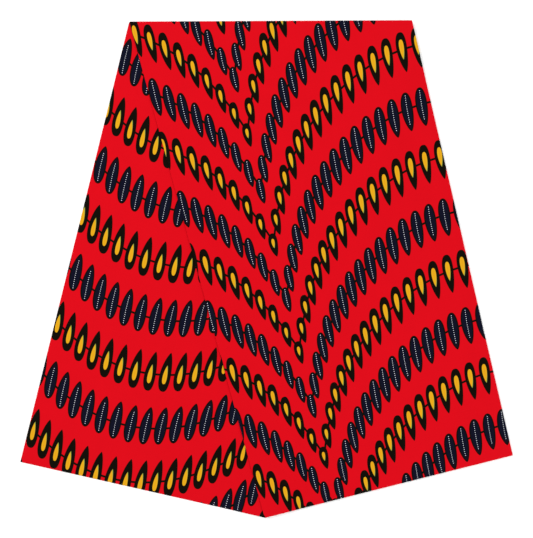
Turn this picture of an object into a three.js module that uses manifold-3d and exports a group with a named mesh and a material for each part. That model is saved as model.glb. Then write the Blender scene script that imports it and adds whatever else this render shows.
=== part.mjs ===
// A length of wax-printed cotton, 1.22 m wide and 5.49 m long, folded for a shop shelf and laid flat.
//
// The cloth is doubled along its length into a strip, and the strip is laid to and fro in five lengths.
// Three of them lean to the right and two to the left, and they all turn at one straight fold at the
// top, so the bundle widens downwards and ends in a blunt point. From the top they are the front panel
// (right), the back panel (left), and a left, a right and a right length that show only at the edges.
//
// Millimetres, +Z up. The bundle lies on z = 0 with its long fold towards +Y, and the origin is under
// its middle.

import * as THREE from "three";
import { mergeVertices } from "three/addons/utils/BufferGeometryUtils.js";
import Module from "manifold-3d";

// ---------------------------------------------------------------- driving sizes
const PLY = 2; // the doubled cloth: two faces of cotton and the air between them
const GAP = 0.3; // clearance between one piece and the next
const OUTLINE = {
  // the corners of the bundle seen from above
  foldLeft: { x: -299, y: 539 },
  foldRight: { x: 317, y: 542 },
  rightEnd: { x: 537, y: -406 },
  point: { x: -4, y: -542 },
  leftEnd: { x: -537, y: -421 },
};
const STEP_START = 24; // how far past the edge of what it covers a length begins to slope down
const STEP_RUN = 60; // how far it takes to reach the lower level
const SLACK = [
  // slow waves in the upper lengths: how high, how far from wave to wave, and where they start
  { height: 0.5, alongX: 610, alongY: 430, start: 0.9 },
  { height: 0.4, alongX: -350, alongY: 520, start: 2.6 },
  { height: 0.3, alongX: 820, alongY: -290, start: 4.4 },
];
const SLACK_EASE = 60; // the waves die out this near a turned fold

const CELLS_ACROSS = 20;
const CELLS_ALONG = 34;
const TURN_FACETS = 6;
const NOSE_FACETS = 4;

const TURN_RADIUS = PLY + GAP / 2; // outside of the fold between two neighbouring panels
const SEAM = TURN_RADIUS + GAP; // where the next piece begins behind that fold

// How far each length keeps inside the outline at each edge. A side edge bulges by half a ply and a
// turned fold by its radius. The lower lengths lie a little short, as in any stack folded by hand.
const INSET = {
  frontPanel: { fold: TURN_RADIUS, right: PLY / 2, end: 0, left: PLY / 2 },
  backPanel: { fold: SEAM, right: 6, end: TURN_RADIUS, left: PLY / 2 },
  lowerLeft: { fold: 4, right: 6, end: SEAM, left: PLY / 2 + 1 },
  lowerRight: { fold: PLY + 1, right: PLY / 2 + 1.2, end: PLY + 1, left: 4 },
  bottomRight: { fold: PLY + 2.5, right: PLY / 2 + 2.8, end: PLY + 1, left: 4 },
};

// ---------------------------------------------------------------- plan view
const corner = (name) => new THREE.Vector2(OUTLINE[name].x, OUTLINE[name].y);
const RIGHT_LENGTH = ["foldLeft", "foldRight", "rightEnd", "point"].map(corner);
const LEFT_LENGTH = ["foldLeft", "foldRight", "point", "leftEnd"].map(corner);

// The unit vector to the left of the way from a to b.
function leftOf(a, b) {
  const way = b.clone().sub(a).normalize();
  return new THREE.Vector2(-way.y, way.x);
}

// How far p lies to the left of the line from a to b.
const offLine = (p, a, b) => leftOf(a, b).dot(p.clone().sub(a));

// Where the line through a and b crosses the line through c and d.
function crossing([a, b], [c, d]) {
  const [fromA, fromB] = [offLine(a, c, d), offLine(b, c, d)];
  return a.clone().lerp(b, fromA / (fromA - fromB));
}

// A length's four corners, clockwise from the fold's left end, with each edge moved inwards.
function insetQuad(quad, inset) {
  const edges = [inset.fold, inset.right, inset.end, inset.left].map((by, i) => {
    const [a, b] = [quad[i], quad[(i + 1) % 4]];
    const inwards = leftOf(a, b).multiplyScalar(-by);
    return [a.clone().add(inwards), b.clone().add(inwards)];
  });
  return edges.map((edge, i) => crossing(edges[(i + 3) % 4], edge));
}

// The point at share s of the way across and share t of the way from the fold to the end.
function planPoint([foldLeft, foldRight, endRight, endLeft], s, t) {
  return foldLeft.clone().lerp(foldRight, s).lerp(endLeft.clone().lerp(endRight, s), t);
}

// ---------------------------------------------------------------- heights
const [FOLD_LEFT, FOLD_RIGHT] = RIGHT_LENGTH;
const POINT = corner("point");
const LEFT_END = corner("leftEnd");
const ease = (x) => THREE.MathUtils.smoothstep(x, 0, 1);

// 1 on the stack to the left of the line a-b and just past it, sloping to 0 where the cloth is down.
const onStack = (p, a, b) => ease((offLine(p, a, b) + STEP_START + STEP_RUN) / STEP_RUN);
const onRightLengths = (p) => onStack(p, FOLD_LEFT, POINT);
const onLeftLengths = (p) => onStack(p, POINT, FOLD_RIGHT);

function slack(p) {
  const nearFold = ease(offLine(p, FOLD_RIGHT, FOLD_LEFT) / SLACK_EASE);
  const nearLeftEnd = ease(offLine(p, LEFT_END, POINT) / SLACK_EASE);
  const waves = SLACK.reduce((sum, { height, alongX, alongY, start }) => {
    const phase = 2 * Math.PI * (p.x / alongX + p.y / alongY) + start;
    return sum + (height * (1 + Math.sin(phase))) / 2;
  }, 0);
  return waves * nearFold * nearLeftEnd;
}

const RIGHT_PAIR_TOP = 2 * PLY;
const lowerLeftTop = (p) => RIGHT_PAIR_TOP * onRightLengths(p) + PLY + slack(p);
const backPanelBase = (p) => lowerLeftTop(p) + GAP;
const LEFT_PAIR = 2 * PLY + GAP; // what the two left lengths add under the front panel
const frontPanelBase = (p) => RIGHT_PAIR_TOP + GAP + LEFT_PAIR * onLeftLengths(p) + slack(p);

// ---------------------------------------------------------------- a length of doubled cloth
// The cross-sections of a length, from its free end to its fold. A length that turns at one of them
// goes on round half a circle, to the level of the next length.
function stationsOf(turnsAt, cellsAlong) {
  const flat = Array.from({ length: cellsAlong + 1 }, (_, i) => ({ t: 1 - i / cellsAlong, turn: 0 }));
  const round = Array.from({ length: TURN_FACETS }, (_, i) => (Math.PI * (i + 1)) / TURN_FACETS);
  if (turnsAt === "fold") return [...flat, ...round.map((turn) => ({ t: 0, turn }))];
  if (turnsAt === "end") return [...round.reverse().map((turn) => ({ t: 1, turn })), ...flat];
  return flat;
}

// One closed ring round the length at a station. It starts at the middle of the left edge, and level
// runs from 0 on the underside to 1 on the face.
function ringOf(length, station, cellsAcross) {
  const { quad, base, thickness } = length;
  const { t, turn } = station;
  const across = planPoint(quad, 1, t).sub(planPoint(quad, 0, t)).normalize();
  const outwards = t === 0 ? leftOf(quad[0], quad[1]) : leftOf(quad[2], quad[3]);
  const at = (s, level, bulge) => {
    const p = planPoint(quad, s, t);
    const bottom = base(p);
    const height = level * thickness(p);
    p.addScaledVector(across, bulge);
    if (turn === 0) return new THREE.Vector3(p.x, p.y, bottom + height);
    const radius = GAP / 2 + height;
    p.addScaledVector(outwards, radius * Math.sin(turn));
    return new THREE.Vector3(p.x, p.y, bottom - GAP / 2 + radius * Math.cos(turn));
  };
  const nose = (s, side) =>
    Array.from({ length: NOSE_FACETS - 1 }, (_, i) => {
      const angle = (Math.PI * (i + 1)) / NOSE_FACETS;
      return at(s, (1 + Math.cos(angle)) / 2, (side * Math.sin(angle) * PLY) / 2);
    });
  const shares = Array.from({ length: cellsAcross + 1 }, (_, i) => i / cellsAcross);
  const left = nose(0, -1);
  return [
    left[1],
    left[0],
    ...shares.map((s) => at(s, 1, 0)),
    ...nose(1, 1),
    ...shares.reverse().map((s) => at(s, 0, 0)),
    left[2],
  ];
}

// Joins the rings and closes both ends. The face and the underside are split along the same
// diagonals, so that one length follows the bends of the length below it exactly.
function loft(rings) {
  const size = rings[0].length;
  const index = [];
  for (let j = 0; j + 1 < rings.length; j += 1) {
    for (let k = 0; k < size; k += 1) {
      const next = (k + 1) % size;
      const [a, b, c, d] = [j * size + k, j * size + next, (j + 1) * size + next, (j + 1) * size + k];
      if (k < size / 2) index.push(a, b, c, a, c, d);
      else index.push(a, b, d, b, c, d);
    }
  }
  const last = (rings.length - 1) * size;
  for (let k = 0; k < size / 2; k += 1) {
    const [a, b, c, d] = [k, k + 1, size - k - 1, (size - k) % size];
    if (b !== c) index.push(c, b, a, last + a, last + b, last + c);
    if (a !== d) index.push(d, c, a, last + a, last + c, last + d);
  }
  const positions = rings.flat().flatMap((v) => [v.x, v.y, v.z]);
  const geometry = new THREE.BufferGeometry();
  geometry.setAttribute("position", new THREE.Float32BufferAttribute(positions, 3));
  geometry.setIndex(index);
  geometry.computeVertexNormals();
  return geometry;
}

function lengthGeometry(length, cellsAcross = CELLS_ACROSS, cellsAlong = CELLS_ALONG) {
  const stations = stationsOf(length.turnsAt, cellsAlong);
  return loft(stations.map((station) => ringOf(length, station, cellsAcross)));
}

// ---------------------------------------------------------------- the two panels that show
const onePly = () => PLY;

function frontPanel() {
  return lengthGeometry({
    quad: insetQuad(RIGHT_LENGTH, INSET.frontPanel),
    base: frontPanelBase,
    thickness: onePly,
    turnsAt: "fold",
  });
}

function backPanel() {
  return lengthGeometry({
    quad: insetQuad(LEFT_LENGTH, INSET.backPanel),
    base: backPanelBase,
    thickness: onePly,
    turnsAt: "end",
  });
}

// ---------------------------------------------------------------- the layers inside
const wasm = await Module();
wasm.setup();

function solidOf(geometry) {
  const bare = new THREE.BufferGeometry();
  bare.setAttribute("position", geometry.getAttribute("position"));
  bare.setIndex(geometry.index);
  const merged = mergeVertices(bare, 1e-3);
  return new wasm.Manifold(
    new wasm.Mesh({
      numProp: 3,
      vertProperties: new Float32Array(merged.attributes.position.array),
      triVerts: new Uint32Array(merged.index.array),
    }),
  );
}

function geometryOf(solid) {
  const mesh = solid.getMesh();
  const geometry = new THREE.BufferGeometry();
  geometry.setAttribute("position", new THREE.Float32BufferAttribute(mesh.vertProperties, 3));
  geometry.setIndex(new THREE.BufferAttribute(mesh.triVerts, 1));
  geometry.computeVertexNormals();
  return geometry;
}

const BITE = 0.05; // how far one layer sinks into the next, so that they join into one solid

// A flat length at the given level of the stack, counted from the floor.
function flatLayer(quad, level) {
  const sink = level === 0 ? 0 : BITE;
  const layer = { quad, base: () => level * PLY - sink, thickness: () => PLY + sink };
  return lengthGeometry(layer, 1, 1);
}

// The half-round fold where one length turns into the next. It bulges to the left of the way from a
// to b, from one ply under the height to one ply over it.
function turnedFold(a, b, height) {
  const reachIn = 2 * PLY;
  const profile = new THREE.Shape();
  profile.moveTo(-reachIn, -PLY);
  profile.absarc(0, 0, PLY, -Math.PI / 2, Math.PI / 2);
  profile.lineTo(-reachIn, PLY);
  profile.closePath();
  const fold = new THREE.ExtrudeGeometry(profile, {
    depth: a.distanceTo(b),
    curveSegments: TURN_FACETS,
    bevelEnabled: false,
  });
  const outwards = leftOf(a, b);
  const way = b.clone().sub(a).normalize();
  const placed = new THREE.Matrix4().makeBasis(
    new THREE.Vector3(outwards.x, outwards.y, 0),
    new THREE.Vector3(0, 0, 1),
    new THREE.Vector3(way.x, way.y, 0),
  );
  placed.setPosition(a.x, a.y, height);
  const geometry = mergeVertices(fold.deleteAttribute("normal").deleteAttribute("uv"));
  return geometry.applyMatrix4(placed);
}

function innerLayers() {
  const bottomRight = insetQuad(RIGHT_LENGTH, INSET.bottomRight);
  const lowerRight = insetQuad(RIGHT_LENGTH, INSET.lowerRight);
  const lowerLeft = lengthGeometry({
    quad: insetQuad(LEFT_LENGTH, INSET.lowerLeft),
    base: () => 0,
    thickness: lowerLeftTop,
  });
  const parts = [
    lowerLeft,
    flatLayer(bottomRight, 0),
    flatLayer(lowerRight, 1),
    turnedFold(lowerRight[0], lowerRight[1], 2 * PLY),
    turnedFold(lowerRight[2], lowerRight[3], PLY),
  ];
  return geometryOf(parts.map(solidOf).reduce((whole, part) => whole.add(part)));
}

// ---------------------------------------------------------------- the bundle
const PRINTED_COTTON = { color: 0xe1121e, roughness: 0.85, metalness: 0 };

const bundle = new THREE.Group();
for (const [name, geometry] of [
  ["front_panel", frontPanel()],
  ["back_panel", backPanel()],
  ["inner_layers", innerLayers()],
]) {
  const mesh = new THREE.Mesh(geometry, new THREE.MeshStandardMaterial(PRINTED_COTTON));
  mesh.name = name;
  bundle.add(mesh);
}

export default bundle;
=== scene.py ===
"""A length of wax-printed cotton, folded for a shop shelf and laid flat: its cloth, print and stage.

The cloth is doubled along its length into a strip, and the strip is laid to and fro in five lengths.
Each length is made as one thin surface: the face, the underside, the fold that joins them at the right
edge, the selvedges turned in at the left edge, and the turned fold that leads to the next length.
Every point also keeps its place on the cloth opened out flat, and the print is worked out from that.

Metres, +Z up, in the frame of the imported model.
"""

import math
from dataclasses import dataclass
from typing import Callable

import bpy
import numpy as np
from bpy.props import FloatProperty, FloatVectorProperty, IntProperty, PointerProperty
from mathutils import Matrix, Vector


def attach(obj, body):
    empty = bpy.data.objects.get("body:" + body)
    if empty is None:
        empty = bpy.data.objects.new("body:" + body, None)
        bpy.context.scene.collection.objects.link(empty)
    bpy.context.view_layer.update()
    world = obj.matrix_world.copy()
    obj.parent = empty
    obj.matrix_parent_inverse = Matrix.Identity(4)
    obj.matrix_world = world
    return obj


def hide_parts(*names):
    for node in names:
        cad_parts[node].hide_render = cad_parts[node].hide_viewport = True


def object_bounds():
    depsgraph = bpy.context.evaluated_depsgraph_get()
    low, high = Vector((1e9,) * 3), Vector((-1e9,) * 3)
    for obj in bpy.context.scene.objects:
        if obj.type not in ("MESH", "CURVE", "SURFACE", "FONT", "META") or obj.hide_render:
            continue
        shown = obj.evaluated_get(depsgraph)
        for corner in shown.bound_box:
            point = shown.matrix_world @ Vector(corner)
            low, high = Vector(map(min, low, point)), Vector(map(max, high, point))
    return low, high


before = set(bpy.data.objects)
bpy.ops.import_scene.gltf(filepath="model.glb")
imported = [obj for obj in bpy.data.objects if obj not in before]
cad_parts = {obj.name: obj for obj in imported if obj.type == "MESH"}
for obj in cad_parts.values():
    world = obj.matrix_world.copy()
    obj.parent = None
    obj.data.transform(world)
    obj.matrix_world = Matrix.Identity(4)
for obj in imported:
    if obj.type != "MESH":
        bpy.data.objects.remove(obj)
CAD_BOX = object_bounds()

bl_info = {
    "name": "Folded wax print cloth",
    "version": (1, 0, 0),
    "blender": (4, 5, 0),
    "location": "3D View > Sidebar > Cloth",
    "description": "Makes a folded length of wax-printed cotton, with its print, cut threads and stage",
    "category": "Object",
}

BODY = "root"
MM = 0.001

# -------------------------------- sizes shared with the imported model
PLY = 2 * MM  # the doubled cloth
GAP = 0.3 * MM  # clearance between the lengths that show
CLEAR = 0.03 * MM  # what each hidden length keeps to its level
CORNERS = {
    # of the bundle's outline, in plan
    "fold_left": (-0.299, 0.539),
    "fold_right": (0.317, 0.542),
    "right_end": (0.537, -0.406),
    "point": (-0.004, -0.542),
    "left_end": (-0.537, -0.421),
}
STEP_START = 24 * MM  # how far past the edge of what it covers a length begins to slope down
STEP_RUN = 60 * MM  # how long that slope is
SLACK = (
    # slow waves in the upper lengths: how high, how far from wave to wave, and their starts
    {"height": 0.5 * MM, "along_x": 0.610, "along_y": 0.430, "start": 0.9},
    {"height": 0.4 * MM, "along_x": -0.350, "along_y": 0.520, "start": 2.6},
    {"height": 0.3 * MM, "along_x": 0.820, "along_y": -0.290, "start": 4.4},
)
SLACK_EASE = 60 * MM  # from the top fold and the left end to where the slow waves are full

# -------------------------------- how the cloth lies in a length
FACE_LEVEL = 0.9  # levels of the sheets, as shares of the ply
FACE_MARGIN_LEVEL = 0.625
UNDER_MARGIN_LEVEL = 0.375
UNDER_LEVEL = 0.1
SIDE_RADIUS = (FACE_LEVEL - UNDER_LEVEL) / 2 * PLY  # of the fold that joins face and underside
HEM_RADIUS = (FACE_LEVEL - FACE_MARGIN_LEVEL) / 2 * PLY  # of the folds that turn the selvedges in
SIDE_FACETS = 8  # round the fold at the right edge
HEM_FACETS = 6  # round each fold at the left edge
TURN_FACETS = 12  # round the fold between two lengths
MARGIN_CELLS = 4  # across a turned-in selvedge
SMOOTH_BELOW = math.radians(50)  # a sharper bend is shaded as an edge

RUMPLES = (
    # shallow waves left by folding: how strong, how far from wave to wave, and their starts
    {"share": 0.40, "along_x": 0.150, "along_y": 0.520, "start": 0.4},
    {"share": 0.35, "along_x": -0.270, "along_y": 0.190, "start": 2.0},
    {"share": 0.25, "along_x": 0.110, "along_y": -0.130, "start": 5.1},
)


# -------------------------------- properties
def length_property(name, description, default, **limits):
    return FloatProperty(
        name=name, description=description, default=default, unit="LENGTH", precision=5, **limits
    )


def colour_property(name, description, default):
    return FloatVectorProperty(
        name=name, description=description, default=default, size=3, subtype="COLOR", min=0, max=1
    )


class WaxClothSizes(bpy.types.PropertyGroup):
    """The cotton itself."""

    width: length_property("Width", "Width of the cloth between its selvedges", 1.2192, min=1.2)
    thickness: length_property("Thickness", "Thickness of the woven cotton", 0.0004, min=0.0001)
    rumple: length_property("Rumple", "Height of the shallow waves left by folding", 0.00025, min=0)
    yarn_pitch: length_property("Yarn pitch", "Distance from yarn to yarn in the weave", 0.0005, min=1e-4)
    thread_spacing: length_property("Thread spacing", "Distance between loose thread ends", 0.0009, min=5e-4)
    thread_length: length_property("Thread length", "Length of the longest loose thread end", 0.0016, min=0)
    thread_thickness: length_property("Thread thickness", "Thickness of a thread end", 0.00022, min=5e-5)
    thread_seed: IntProperty(name="Thread seed", description="Varies the thread ends", default=7)


class WaxPrintSizes(bpy.types.PropertyGroup):
    """The sizes of the printed leaves."""

    vine: length_property("Vine", "Thickness of the line that joins the leaves", 0.0050, min=0)
    outline: length_property("Outline", "Width of the black round a dotted leaf", 0.0021, min=0)
    dot: length_property("Dot", "Radius of a dot on the rib", 0.00085, min=0)
    dot_spacing: length_property("Dot spacing", "Distance from dot to dot", 0.00463, min=1e-3)
    misfit: length_property("Misfit", "How far the dyes overlap at one side of a heart", 0.0013, min=1e-5)
    bleed: length_property("Bleed", "How far the colours run into each other", 0.0005, min=1e-5)


class WaxColours(bpy.types.PropertyGroup):
    """The dyes and the floor."""

    ground: colour_property("Ground", "The red ground", (0.459, 0.0015, 0.0058))
    black: colour_property("Black", "Vines and outlines", (0.0026, 0.0018, 0.0006))
    gold: colour_property("Gold", "Heart of a leaf", (0.518, 0.266, 0.0072))
    gold_streak: colour_property("Gold streak", "Streaks in the heart of a leaf", (0.480, 0.222, 0.0062))
    overlap: colour_property("Overlap", "Edge of the heart, where the dyes overlap", (0.150, 0.260, 0.050))
    indigo: colour_property("Indigo", "Middle of a dotted leaf", (0.0024, 0.0028, 0.0096))
    plum: colour_property("Plum", "Tip of a dotted leaf", (0.0058, 0.0022, 0.0040))
    dots: colour_property("Dots", "Dots along the rib", (0.90, 0.93, 1.0))
    floor: colour_property("Floor", "The pale floor", (0.92, 0.92, 0.92))


class WaxStageSettings(bpy.types.PropertyGroup):
    """The camera and the light."""

    camera_height: length_property("Camera height", "Height of the camera above the floor", 4.0, min=1)
    framed: length_property("Framed width", "What the longer side of the picture takes in", 1.1728, min=0.1)
    daylight: FloatProperty(name="Daylight", description="Strength of the even light all round", default=1.12)
    lamp_power: FloatProperty(
        name="Lamp power", description="Power of the larger soft lamp", default=110, unit="POWER"
    )
    fill_share: FloatProperty(
        name="Fill", description="Share of that power for the lamp opposite", default=0.45, subtype="FACTOR"
    )


# -------------------------------- plan view
def corners_of(*names):
    return np.array([CORNERS[name] for name in names])


RIGHT_LENGTH = corners_of("fold_left", "fold_right", "right_end", "point")
LEFT_LENGTH = corners_of("fold_left", "fold_right", "point", "left_end")
FOLD_LEFT, FOLD_RIGHT, RIGHT_END, POINT = RIGHT_LENGTH
LEFT_END = LEFT_LENGTH[3]


def direction(a, b):
    return (b - a) / np.linalg.norm(b - a)


def left_of(a, b):
    """The unit vector to the left of the way from a to b."""
    x, y = direction(a, b)
    return np.array([-y, x])


def off_line(p, a, b):
    """How far each point lies to the left of the line from a to b."""
    return (p - a) @ left_of(a, b)


def mirrored(p, a, b):
    """Points folded over the line through a and b."""
    return p - 2 * off_line(p, a, b)[..., None] * left_of(a, b)


def crossing(line, other):
    """Where two lines, each through two points, cross."""
    from_a, from_b = off_line(line, *other)
    return line[0] + (line[1] - line[0]) * from_a / (from_a - from_b)


def inset_quad(quad, inset):
    """A length's corners with each edge moved inwards, in the order fold, right, end, left."""
    edges = []
    for i, by in enumerate(inset):
        a, b = quad[i], quad[(i + 1) % 4]
        edges.append(np.array([a, b]) - left_of(a, b) * by)
    return np.array([crossing(edges[i - 1], edges[i]) for i in range(4)])


def plan_point(quad, s, t):
    """The point at share s of the way across and share t of the way from the fold to the end."""
    fold_left, fold_right, end_right, end_left = quad
    return (fold_left * (1 - s) + fold_right * s) * (1 - t) + (end_left * (1 - s) + end_right * s) * t


# -------------------------------- heights
def ease(x):
    """From 0 to 1 with a soft start and end."""
    x = np.clip(x, 0, 1)
    return x * x * (3 - 2 * x)


def on_stack(p, a, b):
    """1 on the stack to the left of the line a-b, sloping to 0 where the cloth is down."""
    return ease((off_line(p, a, b) + STEP_START + STEP_RUN) / STEP_RUN)


def wave(p, along_x, along_y, start):
    """A slow wave from 0 to 1."""
    return (1 + np.sin(2 * math.pi * (p[..., 0] / along_x + p[..., 1] / along_y) + start)) / 2


def slack(p):
    """What the slow waves add to a height: nothing at the top fold and the left end."""
    from_fold = ease(off_line(p, FOLD_RIGHT, FOLD_LEFT) / SLACK_EASE)
    from_left_end = ease(off_line(p, LEFT_END, POINT) / SLACK_EASE)
    waves = sum(w["height"] * wave(p, w["along_x"], w["along_y"], w["start"]) for w in SLACK)
    return waves * from_fold * from_left_end


def rumples(p):
    """Shallow waves from 0 to 1, shared by the lengths that lie on each other."""
    return sum(w["share"] * wave(p, w["along_x"], w["along_y"], w["start"]) for w in RUMPLES)


def right_pair_height(p):
    """The top of the two lowest lengths, and the slope beyond their left edge."""
    return 2 * PLY * on_stack(p, FOLD_LEFT, POINT)


def lower_left_top(p):
    return right_pair_height(p) + PLY + slack(p)


def back_panel_base(p):
    return lower_left_top(p) + GAP


def front_panel_base(p):
    """Over the four others, sloping down past the right edge of the left two."""
    left_pair = (2 * PLY + GAP) * on_stack(p, POINT, FOLD_RIGHT)
    return 2 * PLY + GAP + left_pair + slack(p)


# -------------------------------- the five lengths
@dataclass(frozen=True)
class Length:
    """One pass of the doubled cloth, from its fold at the top to its end."""

    name: str
    outline: np.ndarray
    inset: tuple  # at the fold, the right edge, the end and the left edge
    base: Callable
    thickness: Callable
    turns_at: str  # the edge where it turns down into the next length
    clear: float  # half the clearance between the two there
    layout: str  # of its print
    cells: tuple  # across and along
    rumpled: bool = True
    cut_at: str = ""  # the edge where the cloth is cut

    @property
    def quad(self):
        return inset_quad(self.outline, self.inset)


HALF_CLOTH = 0.2 * MM  # half the thickness of the cotton
# how far inside the outline the fold lines of the upper lengths lie
SIDE = SIDE_RADIUS + HALF_CLOTH
HEM = HEM_RADIUS + HALF_CLOTH
TURN = PLY + GAP / 2
SEAM = TURN + GAP  # where the lower one of two joined lengths begins


def level_ply(level):
    """The height and thickness of a hidden length that lies level."""
    return {
        "base": lambda p: np.full(p.shape[:-1], level * PLY + CLEAR),
        "thickness": lambda p: np.full(p.shape[:-1], PLY - 2 * CLEAR),
    }


def one_ply(p):
    return np.full(p.shape[:-1], PLY)


# from the top down; a hidden one lies a little further in than those over it
FRONT_PANEL = Length(
    name="front_panel_cloth",
    outline=RIGHT_LENGTH,
    inset=(TURN, SIDE, 0, HEM),
    base=front_panel_base,
    thickness=one_ply,
    turns_at="fold",
    clear=GAP / 2,
    layout="arches",
    cells=(60, 100),
    cut_at="end",
)
BACK_PANEL = Length(
    name="back_panel_cloth",
    outline=LEFT_LENGTH,
    inset=(SEAM, 1.2 * MM, TURN, HEM),
    base=back_panel_base,
    thickness=one_ply,
    turns_at="end",
    clear=GAP / 2,
    layout="garlands",
    cells=(60, 100),
)
LOWER_LEFT = Length(
    name="lower_left",
    outline=LEFT_LENGTH,
    inset=(3 * MM, 6 * MM, SEAM, 1.4 * MM),
    base=lambda p: right_pair_height(p) + CLEAR,
    thickness=lambda p: PLY + slack(p) - 2 * CLEAR,
    turns_at="fold",
    clear=CLEAR,
    layout="garlands",
    cells=(44, 72),
)
LOWER_RIGHT = Length(
    name="lower_right",
    outline=RIGHT_LENGTH,
    inset=(3.3 * MM, 2.2 * MM, 3 * MM, 4 * MM),
    turns_at="end",
    clear=CLEAR,
    layout="arches",
    cells=(40, 64),
    rumpled=False,
    **level_ply(1),
)
BOTTOM_RIGHT = Length(
    name="bottom_right",
    outline=RIGHT_LENGTH,
    inset=(4.5 * MM, 3.2 * MM, 3.2 * MM, 5 * MM),
    turns_at="",
    clear=CLEAR,
    layout="arches",
    cells=(40, 64),
    rumpled=False,
    cut_at="fold",
    **level_ply(0),
)


# -------------------------------- once round the doubled cloth
@dataclass
class Section:
    """Points from the turned-in edge of the face, round the right edge, to that of the underside."""

    share: np.ndarray  # of the way across
    out: np.ndarray  # past that, to the right, in plan
    level: np.ndarray  # in the ply
    arc: np.ndarray  # past the fold line on the flat cloth, for points on a bend
    at_hem: np.ndarray  # true on a bend at the left edge
    at_side: np.ndarray  # true on the bend at the right edge
    turned_in: np.ndarray  # true on a turned-in selvedge
    under: np.ndarray  # true on the underside


def section(cells_across, margin):
    """The section where the selvedges are turned in by the given margin."""
    rows = []

    def add(share, out, level, arc=0.0, kind="", under=False):
        rows.append((share, out, level, arc, kind == "hem", kind == "side", kind == "margin", under))

    def add_margin(level, under):
        shares = np.linspace(1, 0, MARGIN_CELLS + 1)
        for share in shares[::-1] if under else shares:
            add(0, margin * share, level, kind="margin", under=under)

    def add_hem(sheet_level, margin_level, under):
        middle, half = (sheet_level + margin_level) / 2, (sheet_level - margin_level) / 2
        angles = np.linspace(0, math.pi, HEM_FACETS + 1)[1:-1]
        for angle in angles if under else angles[::-1]:
            out = -HEM_RADIUS * math.sin(angle)
            add(0, out, middle + half * math.cos(angle), HEM_RADIUS * angle, "hem", under)

    shares = np.linspace(0, 1, cells_across + 1)
    add_margin(FACE_MARGIN_LEVEL, under=False)
    add_hem(FACE_LEVEL, FACE_MARGIN_LEVEL, under=False)
    for share in shares:
        add(share, 0, FACE_LEVEL)
    middle, half = (FACE_LEVEL + UNDER_LEVEL) / 2, (FACE_LEVEL - UNDER_LEVEL) / 2
    for angle in np.linspace(0, math.pi, SIDE_FACETS + 1)[1:-1]:
        out = SIDE_RADIUS * math.sin(angle)
        add(1, out, middle + half * math.cos(angle), SIDE_RADIUS * angle, "side")
    for share in shares[::-1]:
        add(share, 0, UNDER_LEVEL, under=True)
    add_hem(UNDER_LEVEL, UNDER_MARGIN_LEVEL, under=True)
    add_margin(UNDER_MARGIN_LEVEL, under=True)
    return Section(*(np.array(column) for column in zip(*rows)))


def stations(length):
    """(share of the way to the end, angle of turn) of each row of points, the end's side first."""
    along = length.cells[1]
    flat = [(1 - i / along, 0.0) for i in range(along + 1)]
    turns = [math.pi * (i + 1) / TURN_FACETS for i in range(TURN_FACETS)]
    if length.turns_at == "fold":
        return flat + [(0.0, turn) for turn in turns]
    if length.turns_at == "end":
        return [(1.0, turn) for turn in reversed(turns)] + flat
    return flat


def surface(length, width, rumple):
    """The places of the cloth's middle surface and those on the flat cloth, station by station."""
    quad = length.quad
    fold_left, fold_right, end_right, end_left = quad
    left_line, right_line = (end_left, fold_left), (fold_right, end_right)
    places, flats = [], []
    for t, turn in stations(length):
        left, right = plan_point(quad, 0, t), plan_point(quad, 1, t)
        reach = off_line(left, end_right, fold_right)
        margin = width / 2 - reach - math.pi * (HEM_RADIUS + SIDE_RADIUS / 2)
        row = section(length.cells[0], margin)
        plan = left + (right - left) * row.share[:, None] + direction(left, right) * row.out[:, None]
        outwards = left_of(fold_left, fold_right) if t == 0 else left_of(end_right, end_left)
        bottom, height = length.base(plan), row.level * length.thickness(plan)
        lift = rumple * rumples(plan) if length.rumpled else 0.0
        radius = length.clear + height
        if turn:
            z = bottom - length.clear + radius * math.cos(turn) + lift
            bent = plan + outwards * (radius * math.sin(turn))[:, None]
        else:
            z = bottom + height + lift
            bent = plan
        places.append(np.column_stack([bent, z]))
        further = outwards * turn * (length.clear + PLY / 2)
        flats.append(opened_out(row, plan + further, left_line, right_line))
    return np.array(places), np.array(flats)


def foot(p, a, b):
    """The nearest points of the line through a and b."""
    return p - off_line(p, a, b)[..., None] * left_of(a, b)


def opened_out(row, plan, left_line, right_line):
    """Where the points of a section lie once the hems and the doubled cloth are opened out flat."""
    hem_out, side_out = left_of(*left_line), left_of(*right_line)
    arc = row.arc[:, None]
    flat = np.where(row.at_hem[:, None], foot(plan, *left_line) + hem_out * arc, plan)
    flat = np.where(row.at_side[:, None], foot(plan, *right_line) + side_out * arc, flat)
    margin = mirrored(plan, *left_line) + hem_out * math.pi * HEM_RADIUS
    flat = np.where(row.turned_in[:, None], margin, flat)
    under = mirrored(flat, *right_line) + side_out * math.pi * SIDE_RADIUS
    return np.where(row.under[:, None], under, flat)


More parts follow.
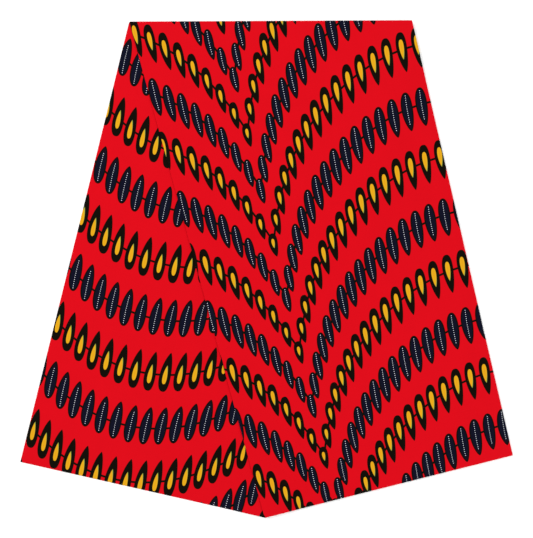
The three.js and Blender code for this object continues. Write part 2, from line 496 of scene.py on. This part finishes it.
# -------------------------------- the print's own axes
PANEL_WIDTH = 0.600  # of a panel at the top fold, square to its side edge
PRINT_MIDDLE = 0.545  # halfway along a panel
LAYOUTS = {
    # "arches" stand on their feet; "garlands" are the same curve upside down
    #   origin, toward: the edge it is measured along, which lies across_at_origin from the right edge
    #   tips: 1 where the leaves point down the panel, -1 where they point up
    #   peak: from the right edge to an arch's peak, less shear in a metre down the panel
    #   bow: how the rows close up down the panel; squeeze: the same for the leaves of a row
    #   span, rise: from an arch's peak to its foot, and its height; roundness, steepness: its curve
    #   far_rise, far_span: height and leaf spacing beyond a foot, against those before it
    #   lean: of the leaves, in degrees, plus lean_growth in a metre to the right of the peak
    # for each kind of leaf
    #   at: how far down the panel one of its rows is lowest; leaves: from foot to peak
    #   lead: evens out their spacing by the foot
    #   length, width: by the peak, less shortening and narrowing by the foot
    #   heart_share: a heart's length, as a share of its leaf's
    "arches": {
        "origin": FOLD_RIGHT, "toward": RIGHT_END, "across_at_origin": 0.0,
        "tips": 1, "peak": -0.005, "shear": 0.005, "bow": 0.045,
        "span": 0.407, "rise": 0.338, "roundness": 0.73, "steepness": 8,
        "far_rise": 0.94, "far_span": 1.015, "squeeze": 0.075,
        "lean": -1.5, "lean_growth": -3.0,
        "gold_at": 0.170, "gold_leaves": 15.5, "gold_lead": 0.050,
        "gold_length": 0.0845, "gold_shortening": 0.033,
        "gold_width": 0.0245, "gold_narrowing": 0.004,
        "dotted_at": 0.051, "dotted_leaves": 16, "dotted_lead": 0.040,
        "dotted_length": 0.0825, "dotted_shortening": 0.027,
        "dotted_width": 0.0265, "dotted_narrowing": 0.0065,
        "heart_share": 0.50, "heart_width": 0.0108, "heart_narrowing": 0.0037,
    },
    "garlands": {
        "origin": FOLD_LEFT, "toward": LEFT_END, "across_at_origin": PANEL_WIDTH,
        "tips": -1, "peak": PANEL_WIDTH - 0.194, "shear": 0.017, "bow": 0.0,
        "span": 0.422, "rise": 0.410, "roundness": 0.74, "steepness": 9,
        "far_rise": 1.0, "far_span": 1.0, "squeeze": 0.0,
        "lean": -0.5, "lean_growth": -2.0,
        "gold_at": 0.489, "gold_leaves": 16, "gold_lead": 0.065,
        "gold_length": 0.0875, "gold_shortening": 0.0,
        "gold_width": 0.0257, "gold_narrowing": 0.0035,
        "dotted_at": 0.369, "dotted_leaves": 15.5, "dotted_lead": 0.100,
        "dotted_length": 0.0835, "dotted_shortening": 0.0,
        "dotted_width": 0.0267, "dotted_narrowing": 0.0035,
        "heart_share": 0.48, "heart_width": 0.0102, "heart_narrowing": 0.006,
    },
}


def cut_places(layout, flats):
    """How far points on the flat cloth lie from the panel's right edge, and down from its top fold."""
    way = direction(layout["origin"], layout["toward"])
    from_origin = flats - layout["origin"]
    across = from_origin @ np.array([way[1], -way[0]])
    return np.stack([across + layout["across_at_origin"], from_origin @ way], axis=-1)


# -------------------------------- nodes
class Graph:
    """Adds nodes to one tree."""

    def __init__(self, tree):
        self.tree = tree
        tree.nodes.clear()

    def node(self, kind, settings=None, inputs=None):
        """A node of this kind, with its settings and then the values or links of its sockets."""
        made = self.tree.nodes.new(kind)
        for name, value in (settings or {}).items():
            setattr(made, name, value)
        for key, value in (inputs or {}).items():
            socket = made.inputs[key] if isinstance(key, int) else open_socket(made.inputs, key)
            value = value.socket if isinstance(value, Value) else value
            if isinstance(value, bpy.types.NodeSocket):
                self.tree.links.new(value, socket)
            else:
                socket.default_value = value
        return made

    def value(self, kind, settings=None, inputs=None, output=0):
        """The same node, as one of its outputs to reckon with."""
        made = self.node(kind, settings, inputs)
        socket = made.outputs[output] if isinstance(output, int) else open_socket(made.outputs, output)
        return Value(self, socket)

    def mix(self, low, high, share):
        """One colour going over into another."""
        ends = {"Factor": share, "A": colour_of(low), "B": colour_of(high)}
        return self.value("ShaderNodeMix", {"data_type": "RGBA"}, ends, "Result")


def open_socket(sockets, name):
    """The socket of that name which the node's settings leave in use."""
    return next(socket for socket in sockets if socket.name == name and socket.enabled)


def colour_of(value):
    return value if isinstance(value, Value) else (*value, 1.0)


class Value:
    """A socket that takes part in ordinary arithmetic; each step adds a Math node."""

    def __init__(self, graph, socket):
        self.graph = graph
        self.socket = socket

    def math(self, operation, *others, clamp=False):
        settings = {"operation": operation, "use_clamp": clamp}
        return self.graph.value("ShaderNodeMath", settings, dict(enumerate((self, *others))))

    def __add__(self, other):
        return self.math("ADD", other)

    __radd__ = __add__

    def __mul__(self, other):
        return self.math("MULTIPLY", other)

    __rmul__ = __mul__

    def __sub__(self, other):
        return self.math("SUBTRACT", other)

    def __rsub__(self, other):
        return self.graph.value("ShaderNodeMath", {"operation": "SUBTRACT"}, {0: other, 1: self})

    def __truediv__(self, other):
        return self.math("DIVIDE", other)

    def __rtruediv__(self, other):
        return self.graph.value("ShaderNodeMath", {"operation": "DIVIDE"}, {0: other, 1: self})

    def __pow__(self, other):
        return self.math("POWER", other)

    def __abs__(self):
        return self.math("ABSOLUTE")

    def floor(self):
        return self.math("FLOOR")

    def root(self):
        return self.math("SQRT")

    def sine(self):
        return self.math("SINE")

    def cosine(self):
        return self.math("COSINE")

    def sign(self):
        return self.math("SIGN")

    def above(self, level):
        return self.math("GREATER_THAN", level)

    def larger(self, other):
        return self.math("MAXIMUM", other)

    def smaller(self, other):
        return self.math("MINIMUM", other)

    def clamped(self):
        return self.math("ADD", 0.0, clamp=True)

    def there_and_back(self, span):
        return self.math("PINGPONG", span)

    def wrapped(self, low, high):
        return self.math("WRAP", high, low)


# -------------------------------- the print
ROW_PITCH = 0.1202  # from a row of gold-hearted leaves to the next row of dotted ones
VINE_AT = -0.07  # where the vine crosses a leaf, as a share of its length from the middle
LEAF_BEND = 1.6 * MM  # how far a leaf's rib bows out to the left
LEAF_SPREADING = 1.5  # how the spacing of the leaves grows from the foot of an arch to its peak
NARROWING = 2.5  # how suddenly the leaves get narrower towards the feet of an arch
SHORTENING = 5  # how suddenly they get shorter there
# the shapes of a gold-hearted leaf, a dotted leaf and a heart, towards the round end and the tip
LEAF_ROUND, LEAF_POINT = 0.39, 0.72
DOTTED_ROUND, DOTTED_POINT = 0.44, 0.63
HEART_ROUND, HEART_POINT = 0.40, 0.80
# places along a leaf, from 0 at its round end to 1 at its tip
HEART_MIDDLE = 0.43
MIDDLE_FROM, MIDDLE_TO = 0.04, 0.96  # the middle of a dotted leaf
RIB_FROM, RIB_TO = 0.055, 0.86  # its dots
PLUM_FROM = 0.70  # where its indigo begins to turn plum
HEART_SHORTENING = 0.10  # share of the leaf's length that its heart loses towards the feet
OVERLAP_AT_TIP = 2  # how wide the overlap of the dyes is at a heart's tip, in misfits
STREAK_AT = 0.35  # where the streak is strongest, along the heart
STREAK_FADE = 2  # how fast it fades from there, along and across the heart


def bulge(y, toward_round, toward_tip):
    """A leaf's half-width from 0 at its ends to 1 at its widest, y going from its round end to its tip."""
    widest = toward_round / (toward_round + toward_tip)
    height = widest**toward_round * (1 - widest) ** toward_tip
    return y**toward_round * (1 - y) ** toward_tip / height


def rib_bow(y):
    """0 at both ends of a leaf and 1 halfway."""
    return y * (1 - y) * 4


def most(values):
    """The largest of some values, at each place."""
    top = values[0]
    for value in values[1:]:
        top = top.larger(value)
    return top


class Print:
    """The printed pattern of one layout: its rows of leaves, in metres on the flat cloth."""

    def __init__(self, graph, layout, sizes):
        self.layout, self.sizes = layout, sizes
        place = graph.node("ShaderNodeUVMap", {"uv_map": "Cut"})
        apart = graph.node("ShaderNodeSeparateXYZ", inputs={0: place.outputs["UV"]})
        self.across, self.along = Value(graph, apart.outputs["X"]), Value(graph, apart.outputs["Y"])
        past_middle = self.along - PRINT_MIDDLE
        from_edge = abs(self.across)  # the underside has the face's print, mirrored at the right edge
        off_peak = layout["peak"] - from_edge - past_middle * layout["shear"]  # to the right
        self.down = (self.along + past_middle * past_middle * layout["bow"]) * layout["tips"]
        span = layout["span"]
        reach = abs(off_peak)
        far = reach.above(span)  # 1 beyond the feet of the middle arch
        self.from_peak = reach.there_and_back(span) / span
        self.rise = layout["rise"] * (1 + far * (layout["far_rise"] - 1))
        closer = 1 - past_middle * layout["squeeze"]
        self.spread = span * closer * (1 + far * (layout["far_span"] - 1))
        self.from_foot = span * (1 - self.from_peak)
        self.rightwards = off_peak.sign() * (far * 2 - 1)  # 1 where the foot lies to the left, or else -1
        lean = (layout["lean"] + off_peak * layout["lean_growth"]) * math.radians(1)
        self.lean_cosine, self.lean_sine = lean.cosine(), lean.sine() * layout["tips"]

    def arch(self, from_peak):
        """The height of a row over the feet of its arches."""
        roundness, steepness = self.layout["roundness"], self.layout["steepness"]
        return self.rise * (1 - roundness * from_peak**2 - (1 - roundness) * from_peak**steepness)

    def slope(self, from_peak):
        """How steeply a row falls there."""
        roundness, steepness = self.layout["roundness"], self.layout["steepness"]
        steep = (1 - roundness) * steepness * from_peak ** (steepness - 1)
        return self.rise * (2 * roundness * from_peak + steep) / self.layout["span"]

    def off_row(self, kind, from_peak):
        """The distance towards the tips from the nearest row of this kind."""
        at = self.layout[kind + "_at"]
        start = at if self.layout["tips"] > 0 else self.layout["rise"] - at
        return (self.down - start + self.arch(from_peak)).wrapped(-ROW_PITCH, ROW_PITCH)

    def vine(self, kind):
        """How deep a point lies in the line that joins the leaves."""
        off = self.off_row(kind, self.from_peak) - VINE_AT * self.layout[kind + "_length"]
        slope = self.slope(self.from_peak)
        return self.sizes.vine / 2 - abs(off) / (1 + slope * slope).root()

    def leaves(self, kind):
        """The two nearest leaves: share along, distance right of the rib, length and place on the arch."""
        count, lead = self.layout[kind + "_leaves"], self.layout[kind + "_lead"]
        low, high = lead ** (1 / LEAF_SPREADING), (self.spread + lead) ** (1 / LEAF_SPREADING)
        number = ((self.from_foot + lead) ** (1 / LEAF_SPREADING) - low) / (high - low) * count
        before = number.floor()
        for order in (before, before + 1):
            from_foot = (low + order / count * (high - low)) ** LEAF_SPREADING - lead
            from_peak = abs(1 - from_foot / self.layout["span"]).smaller(1)
            off = self.off_row(kind, from_peak)
            right = self.rightwards * (self.from_foot - from_foot)
            along = off * self.lean_cosine + right * self.lean_sine
            aside = right * self.lean_cosine - off * self.lean_sine
            length = self.layout[kind + "_length"] - self.layout[kind + "_shortening"] * from_peak**SHORTENING
            y = (along / length + 0.5).clamped()
            off_rib = aside + rib_bow(y) * LEAF_BEND
            yield {"y": y, "right": off_rib, "aside": abs(off_rib), "length": length, "from_peak": from_peak}

    def half_width(self, kind, leaf):
        """Half the greatest width of a shape, which is less towards the feet of the arches."""
        lost = self.layout[kind + "_narrowing"] * leaf["from_peak"] ** NARROWING
        return (self.layout[kind + "_width"] - lost) / 2


def inside(depth, bleed):
    """1 where the depth in a shape is more than the bleed, down to 0 at its edge."""
    return (depth / bleed).clamped()


def gold_leaves(cloth, sizes):
    """(leaf, heart, edge of the heart where the dyes overlap, streaks) of the leaves with a gold heart."""
    leaf, heart, overlap, streak = [], [], [], []
    for one in cloth.leaves("gold"):
        leaf.append(cloth.half_width("gold", one) * bulge(one["y"], LEAF_ROUND, LEAF_POINT) - one["aside"])
        share = cloth.layout["heart_share"] - HEART_SHORTENING * one["from_peak"] ** NARROWING
        y = ((one["y"] - HEART_MIDDLE) / share + 0.5).clamped()
        half = cloth.half_width("heart", one)
        edge = half * bulge(y, HEART_ROUND, HEART_POINT)
        shown = inside(edge - one["aside"], sizes.bleed)
        heart.append(shown)
        past_overlap = one["right"] - edge + y * OVERLAP_AT_TIP * sizes.misfit
        overlap.append(shown * inside(past_overlap, sizes.misfit))
        across = (1 - one["aside"] / half * STREAK_FADE).clamped()
        streak.append(across * (1 - abs(y - STREAK_AT) * STREAK_FADE).clamped())
    return inside(most(leaf), sizes.bleed), most(heart), most(overlap), most(streak)


def dotted_leaves(cloth, sizes):
    """(leaf, its middle, its tip, its dots) of the leaves with a dotted rib."""
    leaf, middle, tip, dots = [], [], [], []
    for one in cloth.leaves("dotted"):
        half = cloth.half_width("dotted", one)
        leaf.append(half * bulge(one["y"], DOTTED_ROUND, DOTTED_POINT) - one["aside"])
        inner = ((one["y"] - MIDDLE_FROM) / (MIDDLE_TO - MIDDLE_FROM)).clamped()
        depth = (half - sizes.outline) * bulge(inner, DOTTED_ROUND, DOTTED_POINT) - one["aside"]
        shown = inside(depth, sizes.outline)
        middle.append(shown)
        tip.append(shown * ((one["y"] - PLUM_FROM) / (1 - PLUM_FROM)).clamped())
        rib = one["length"] / sizes.dot_spacing
        number = (one["y"] - RIB_FROM) * rib
        last = (rib * (RIB_TO - RIB_FROM)).floor()
        between = (number - number.floor() - 0.5) * sizes.dot_spacing
        off_dot = (between * between + one["aside"] * one["aside"]).root()
        dots.append(inside(sizes.dot - off_dot, sizes.bleed) * number.above(0) * (1 - number.above(last)))
    return inside(most(leaf), sizes.bleed), most(middle), most(tip), most(dots)


# -------------------------------- the cotton
SLUB_LENGTH, SLUB_WIDTH = 45 * MM, 1.6 * MM  # of the thicker stretches of a yarn
SLUB_HEIGHT = 1.5  # in heights of a yarn
YARN_BUMP = 0.02 * MM  # height of a yarn
BUMP_STRENGTH = 0.6
NOISE_MEAN = 0.5
WEAVE_MEAN = 0.4
MOTTLE_SCALE, MOTTLE_DETAIL = 22.0, 4.0  # patches in a metre, and levels of smaller ones in them
SHADE_SPREAD = 0.05  # how much the dye varies with the slubs and in patches
PAINTED_WEAVE_SHADE = 0.04  # painted shade: how much lighter the crown of a yarn is painted than its edge, where it dips between yarns
COTTON_ROUGHNESS = 0.84
ROUGHNESS_SPREAD = 0.06
BLACK_SMOOTHNESS = 0.05  # what the black dye takes off the roughness


def noise(graph, vector, scale=1.0, detail=2.0):
    """Noise from 0 to 1 on the given coordinates."""
    inputs = {"Vector": vector, "Scale": scale, "Detail": detail}
    return graph.value("ShaderNodeTexNoise", {"noise_dimensions": "2D"}, inputs, "Fac")


def stretched(graph, place, across, along):
    """Coordinates in which a patch of this size is a unit square."""
    return graph.node(
        "ShaderNodeVectorMath", {"operation": "MULTIPLY"}, {0: place, 1: (1 / across, 1 / along, 1)}
    ).outputs["Vector"]


def printed_cotton(name, layout, sizes, prints, dyes):
    """Plain-woven cotton with the print of one layout."""
    material = bpy.data.materials.new(name)
    material.use_nodes = True
    graph = Graph(material.node_tree)
    cloth = Print(graph, layout, prints)
    leaf, heart, overlap, streak = gold_leaves(cloth, prints)
    dotted, middle, plum_tip, dots = dotted_leaves(cloth, prints)
    vines = cloth.vine("gold").larger(cloth.vine("dotted"))
    black = most([leaf, dotted, inside(vines, prints.bleed)])
    colour = graph.mix(dyes.ground, dyes.black, black)
    gold = graph.mix(dyes.gold, dyes.gold_streak, streak)
    colour = graph.mix(colour, graph.mix(gold, dyes.overlap, overlap), heart)
    colour = graph.mix(colour, graph.mix(dyes.indigo, dyes.plum, plum_tip), middle)
    colour = graph.mix(colour, dyes.dots, dots)

    place = graph.node("ShaderNodeUVMap", {"uv_map": "Cut"}).outputs["UV"]
    warp = noise(graph, stretched(graph, place, SLUB_WIDTH, SLUB_LENGTH))
    weft = noise(graph, stretched(graph, place, SLUB_LENGTH, SLUB_WIDTH))
    slubs = warp + weft
    mottle = noise(graph, place, MOTTLE_SCALE, MOTTLE_DETAIL)
    half_turn_a_yarn = math.pi / sizes.yarn_pitch
    weave = abs((cloth.across * half_turn_a_yarn).sine() * (cloth.along * half_turn_a_yarn).sine())
    # the dye's tone varies at random with the slubs and in patches; the weave adds painted shade, lighter on
    # the crowns of the yarns and darker where they dip
    tone_and_painted_shade = 1 + (slubs - 2 * NOISE_MEAN) * SHADE_SPREAD
    tone_and_painted_shade = tone_and_painted_shade + (mottle - NOISE_MEAN) * SHADE_SPREAD + (weave - WEAVE_MEAN) * PAINTED_WEAVE_SHADE
    grey = graph.value("ShaderNodeCombineColor", inputs={0: tone_and_painted_shade, 1: tone_and_painted_shade, 2: tone_and_painted_shade})
    colour = graph.value(
        "ShaderNodeMix",
        {"data_type": "RGBA", "blend_type": "MULTIPLY"},
        {"Factor": 1.0, "A": colour, "B": grey},
        "Result",
    )
    roughness = COTTON_ROUGHNESS + (warp - NOISE_MEAN) * ROUGHNESS_SPREAD - black * BLACK_SMOOTHNESS
    height = weave + slubs * SLUB_HEIGHT
    bump = graph.node(
        "ShaderNodeBump", inputs={"Strength": BUMP_STRENGTH, "Distance": YARN_BUMP, "Height": height}
    )
    shader = graph.node(
        "ShaderNodeBsdfPrincipled",
        inputs={
            "Base Color": colour,
            "Roughness": roughness,
            "Normal": bump.outputs["Normal"],
            "Specular IOR Level": 0.03,
            "Sheen Weight": 0.015,
            "Sheen Roughness": 0.45,
        },
    )
    graph.node("ShaderNodeOutputMaterial", inputs={"Surface": shader.outputs["BSDF"]})
    return material


def cotton_for(context, layout_name):
    """The material for one layout of the print, made once."""
    name = "Printed cotton, " + layout_name
    found = bpy.data.materials.get(name)
    if found:
        return found
    scene = context.scene
    return printed_cotton(
        name, LAYOUTS[layout_name], scene.wax_cloth_sizes, scene.wax_print_sizes, scene.wax_colours
    )


# -------------------------------- meshes
def linked(name, mesh, material=None):
    """A new piece of the scene with this mesh."""
    piece = bpy.data.objects.new(name, mesh)
    bpy.context.scene.collection.objects.link(piece)
    if material:
        mesh.materials.append(material)
    return piece


def made_plain(piece):
    """The piece with its modifiers applied."""
    evaluated = piece.evaluated_get(bpy.context.evaluated_depsgraph_get())
    mesh = bpy.data.meshes.new_from_object(evaluated)
    name, rough = piece.name, piece.data
    bpy.data.objects.remove(piece)
    bpy.data.meshes.remove(rough)
    mesh.name = name
    return linked(name, mesh)


def cloth_piece(context, length):
    """(the length as a thin shell, its rows of points, their places on the cut cloth)"""
    sizes = context.scene.wax_cloth_sizes
    places, flats = surface(length, sizes.width, sizes.rumple)
    along, across = places.shape[:2]
    number = np.arange(along * across).reshape(along, across)
    corners = np.stack([number[:-1, :-1], number[:-1, 1:], number[1:, 1:], number[1:, :-1]], axis=-1)
    mesh = bpy.data.meshes.new(length.name)
    mesh.from_pydata(places.reshape(-1, 3).tolist(), [], corners.reshape(-1, 4).tolist())
    cut = cut_places(LAYOUTS[length.layout], flats)
    by_corner = cut.reshape(-1, 2)[corners.reshape(-1)]
    mesh.uv_layers.new(name="Cut").uv.foreach_set("vector", by_corner.astype(np.float32).ravel())
    piece = linked(length.name, mesh, cotton_for(context, length.layout))
    shell = piece.modifiers.new("Thickness", "SOLIDIFY")
    shell.thickness = sizes.thickness
    shell.offset = 0
    piece = made_plain(piece)
    piece.data.shade_smooth()
    piece.data.set_sharp_from_angle(angle=SMOOTH_BELOW)
    return piece, places, cut


# -------------------------------- loose threads at a cut end
THREAD_INPUTS = {
    # the kind of each input's socket
    "Geometry": "Geometry",
    "Spacing": "Float",
    "Length": "Float",
    "Thickness": "Float",
    "Towards": "Vector",
    "Seed": "Int",
    "Material": "Material",
}
THREAD_SHAPE = {"Vertices": 4, "Radius Top": 0.2, "Radius Bottom": 0.5, "Depth": 1.0}  # before it is sized
THREAD_STRAY = {"Min": (-0.5, -0.5, -0.22), "Max": (0.5, 0.5, 0.12)}  # from a heading straight out
THREAD_REACH = {"Min": 0.15, "Max": 1.0}  # squared, the share of the longest thread


def thread_tree():
    """Thread ends along a line of points, each with the print's colour at its root."""
    tree = bpy.data.node_groups.new("Thread ends", "GeometryNodeTree")
    graph = Graph(tree)
    for name, kind in THREAD_INPUTS.items():
        tree.interface.new_socket(name, in_out="INPUT", socket_type="NodeSocket" + kind)
    tree.interface.new_socket("Geometry", in_out="OUTPUT", socket_type="NodeSocketGeometry")
    given = graph.node("NodeGroupInput").outputs

    edge = graph.node("GeometryNodeMeshToCurve", inputs={"Mesh": given["Geometry"]}).outputs["Curve"]
    roots = graph.node(
        "GeometryNodeResampleCurve", {"mode": "LENGTH"}, {"Curve": edge, "Length": given["Spacing"]}
    ).outputs["Curve"]
    thread = graph.node("GeometryNodeMeshCone", inputs=THREAD_SHAPE).outputs["Mesh"]
    stray = {**THREAD_STRAY, "Seed": given["Seed"]}
    aside = graph.value("FunctionNodeRandomValue", {"data_type": "FLOAT_VECTOR"}, stray, "Value")
    heading = graph.value("ShaderNodeVectorMath", {"operation": "ADD"}, {0: aside, 1: given["Towards"]})
    turned = graph.value("FunctionNodeAlignRotationToVector", {"axis": "Z"}, {"Vector": heading}, "Rotation")
    reaches = {**THREAD_REACH, "Seed": given["Seed"]}
    reach = graph.value("FunctionNodeRandomValue", {"data_type": "FLOAT"}, reaches, "Value")
    thick = Value(graph, given["Thickness"])
    size = graph.value(
        "ShaderNodeCombineXYZ", inputs={"X": thick, "Y": thick, "Z": reach * reach * given["Length"]}
    )
    placed = graph.node(
        "GeometryNodeInstanceOnPoints",
        inputs={"Points": roots, "Instance": thread, "Rotation": turned, "Scale": size},
    ).outputs["Instances"]
    whole = graph.node("GeometryNodeRealizeInstances", inputs={"Geometry": placed}).outputs["Geometry"]
    root_place = graph.value(
        "GeometryNodeInputNamedAttribute", {"data_type": "FLOAT_VECTOR"}, {"Name": "root_place"}, "Attribute"
    )
    dyed = graph.node(
        "GeometryNodeStoreNamedAttribute",
        {"data_type": "FLOAT2", "domain": "CORNER"},
        {"Geometry": whole, "Name": "Cut", "Value": root_place},
    ).outputs["Geometry"]
    finished = graph.node(
        "GeometryNodeSetMaterial", inputs={"Geometry": dyed, "Material": given["Material"]}
    ).outputs["Geometry"]
    graph.node("NodeGroupOutput", inputs={"Geometry": finished})
    return tree


def thread_ends(context, length, places, cut):
    """The loose thread ends along the length's cut edge."""
    sizes = context.scene.wax_cloth_sizes
    quad = length.quad
    at_end = length.cut_at == "end"
    row = 0 if at_end else -1
    edge = bpy.data.meshes.new(length.name + "_threads")
    points = places[row]
    edge.from_pydata(points.tolist(), [(i, i + 1) for i in range(len(points) - 1)], [])
    place = edge.attributes.new("root_place", "FLOAT_VECTOR", "POINT")
    place.data.foreach_set("vector", np.column_stack([cut[row], np.zeros(len(points))]).ravel())
    piece = linked(edge.name, edge)
    maker = piece.modifiers.new("Thread ends", "NODES")
    maker.node_group = bpy.data.node_groups.get("Thread ends") or thread_tree()
    outwards = left_of(quad[2], quad[3]) if at_end else left_of(quad[0], quad[1])
    settings = {
        "Spacing": sizes.thread_spacing,
        "Length": sizes.thread_length,
        "Thickness": sizes.thread_thickness,
        "Towards": (*outwards, 0.0),
        "Seed": sizes.thread_seed,
        "Material": cotton_for(context, length.layout),
    }
    for item in maker.node_group.interface.items_tree:
        if item.in_out == "INPUT" and item.name in settings:
            maker[item.identifier] = settings[item.name]
    return made_plain(piece)


def finished_length(context, length, node):
    """One length, with its thread ends where it is cut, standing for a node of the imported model."""
    piece, places, cut = cloth_piece(context, length)
    threads = [thread_ends(context, length, places, cut)] if length.cut_at else []
    for made in [piece, *threads]:
        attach(made, BODY)
    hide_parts(node)
    flat = flat_size(context, length)


def flat_size(context, length):
    """The width of the cloth and the mean distance from one turned fold or cut end to the next."""
    quad = length.quad
    ways = (quad[0] + quad[1] - quad[2] - quad[3]) / 2
    turn = math.pi * (length.clear + PLY / 2) if length.turns_at else 0
    return context.scene.wax_cloth_sizes.width, float(np.linalg.norm(ways)) + turn


# -------------------------------- the stage
FLOOR_HALF = 12.0  # half its width
FLOOR_LEVEL = -0.3 * MM
LAMP_SIZE = 2.4
LARGE_LAMP_AT = (-2.6, 1.8, 3.0)
FILL_LAMP_AT = (2.8, -1.6, 2.6)
SENSOR_WIDTH = 36  # in millimetres, as Blender wants it
VIEW_DEPTH = 50


def floor(colour):
    mesh = bpy.data.meshes.new("floor")
    half, z = FLOOR_HALF, FLOOR_LEVEL
    corners = [(-half, -half, z), (half, -half, z), (half, half, z), (-half, half, z)]
    mesh.from_pydata(corners, [], [(0, 1, 2, 3)])
    material = bpy.data.materials.new("Pale floor")
    material.use_nodes = True
    graph = Graph(material.node_tree)
    shader = graph.node("ShaderNodeBsdfPrincipled", inputs={"Base Color": (*colour, 1.0), "Roughness": 0.9})
    graph.node("ShaderNodeOutputMaterial", inputs={"Surface": shader.outputs["BSDF"]})
    return linked("floor", mesh, material)


def lamp(name, power, place):
    """A soft lamp, turned towards the cloth and hidden from the camera."""
    light = bpy.data.lights.new(name, "AREA")
    light.energy = power
    light.size = LAMP_SIZE
    held = bpy.data.objects.new(name, light)
    held.location = place
    held.rotation_euler = aimed_at_origin(place)
    held.visible_camera = False
    bpy.context.scene.collection.objects.link(held)


def aimed_at_origin(place):
    x, y, z = place
    return (math.atan2(math.hypot(x, y), z), 0.0, math.atan2(x, -y))


def daylight(strength):
    world = bpy.data.worlds.new("Even daylight")
    world.use_nodes = True
    graph = Graph(world.node_tree)
    sky = graph.node("ShaderNodeBackground", inputs={"Color": (1, 1, 1, 1), "Strength": strength})
    graph.node("ShaderNodeOutputWorld", inputs={"Surface": sky.outputs["Background"]})
    bpy.context.scene.world = world


def camera(height, framed):
    """Straight above, with the cloth's long fold at the top of the picture."""
    lens = bpy.data.cameras.new("camera")
    lens.sensor_width = SENSOR_WIDTH
    lens.lens = SENSOR_WIDTH * height / framed
    lens.clip_end = VIEW_DEPTH
    held = bpy.data.objects.new("camera", lens)
    held.location = (0, 0, height + (CAD_BOX[0].z + CAD_BOX[1].z) / 2)
    bpy.context.scene.collection.objects.link(held)
    bpy.context.scene.camera = held


# -------------------------------- operators
class WAXCLOTH_OT_front_panel(bpy.types.Operator):
    """Make the front panel, which lies on top and leans right"""

    bl_idname = "waxcloth.front_panel"
    bl_label = "Front panel"

    def execute(self, context):
        finished_length(context, FRONT_PANEL, "front_panel")
        return {"FINISHED"}


class WAXCLOTH_OT_back_panel(bpy.types.Operator):
    """Make the back panel, which lies under the front panel and leans left"""

    bl_idname = "waxcloth.back_panel"
    bl_label = "Back panel"

    def execute(self, context):
        finished_length(context, BACK_PANEL, "back_panel")
        return {"FINISHED"}


class WAXCLOTH_OT_lower_lengths(bpy.types.Operator):
    """Make the three lengths under the panels, which show only at the edges"""

    bl_idname = "waxcloth.lower_lengths"
    bl_label = "Lower lengths"

    def execute(self, context):
        for length in (BOTTOM_RIGHT, LOWER_RIGHT, LOWER_LEFT):
            finished_length(context, length, "inner_layers")
        return {"FINISHED"}


class WAXCLOTH_OT_stage(bpy.types.Operator):
    """Make the floor, the light and the camera"""

    bl_idname = "waxcloth.stage"
    bl_label = "Floor, light and camera"

    def execute(self, context):
        stage = context.scene.wax_stage
        floor(context.scene.wax_colours.floor)
        daylight(stage.daylight)
        lamp("large_lamp", stage.lamp_power, LARGE_LAMP_AT)
        lamp("fill_lamp", stage.lamp_power * stage.fill_share, FILL_LAMP_AT)
        camera(stage.camera_height, stage.framed)
        context.scene.view_settings.view_transform = "Standard"
        return {"FINISHED"}


OPERATORS = (
    WAXCLOTH_OT_stage,
    WAXCLOTH_OT_lower_lengths,
    WAXCLOTH_OT_back_panel,
    WAXCLOTH_OT_front_panel,
)


class WAXCLOTH_PT_sidebar(bpy.types.Panel):
    """Lists what can be made, and the sizes and colours it takes"""

    bl_idname = "WAXCLOTH_PT_sidebar"
    bl_label = "Folded wax print cloth"
    bl_space_type = "VIEW_3D"
    bl_region_type = "UI"
    bl_category = "Cloth"

    def draw(self, context):
        for name, group in SETTINGS.items():
            settings = getattr(context.scene, name)
            box = self.layout.box()
            for prop in group.__annotations__:
                box.prop(settings, prop)
        for operator in OPERATORS:
            self.layout.operator(operator.bl_idname)


SETTINGS = {
    "wax_cloth_sizes": WaxClothSizes,
    "wax_print_sizes": WaxPrintSizes,
    "wax_colours": WaxColours,
    "wax_stage": WaxStageSettings,
}


def register():
    for name, group in SETTINGS.items():
        bpy.utils.register_class(group)
        setattr(bpy.types.Scene, name, PointerProperty(type=group))
    for operator in OPERATORS:
        bpy.utils.register_class(operator)
    bpy.utils.register_class(WAXCLOTH_PT_sidebar)


def unregister():
    bpy.utils.unregister_class(WAXCLOTH_PT_sidebar)
    for operator in reversed(OPERATORS):
        bpy.utils.unregister_class(operator)
    for name, group in reversed(SETTINGS.items()):
        delattr(bpy.types.Scene, name)
        bpy.utils.unregister_class(group)


def main():
    register()
    bpy.ops.waxcloth.stage()
    bpy.ops.waxcloth.lower_lengths()
    bpy.ops.waxcloth.back_panel()
    bpy.ops.waxcloth.front_panel()


if __name__ == "__main__":
    main()
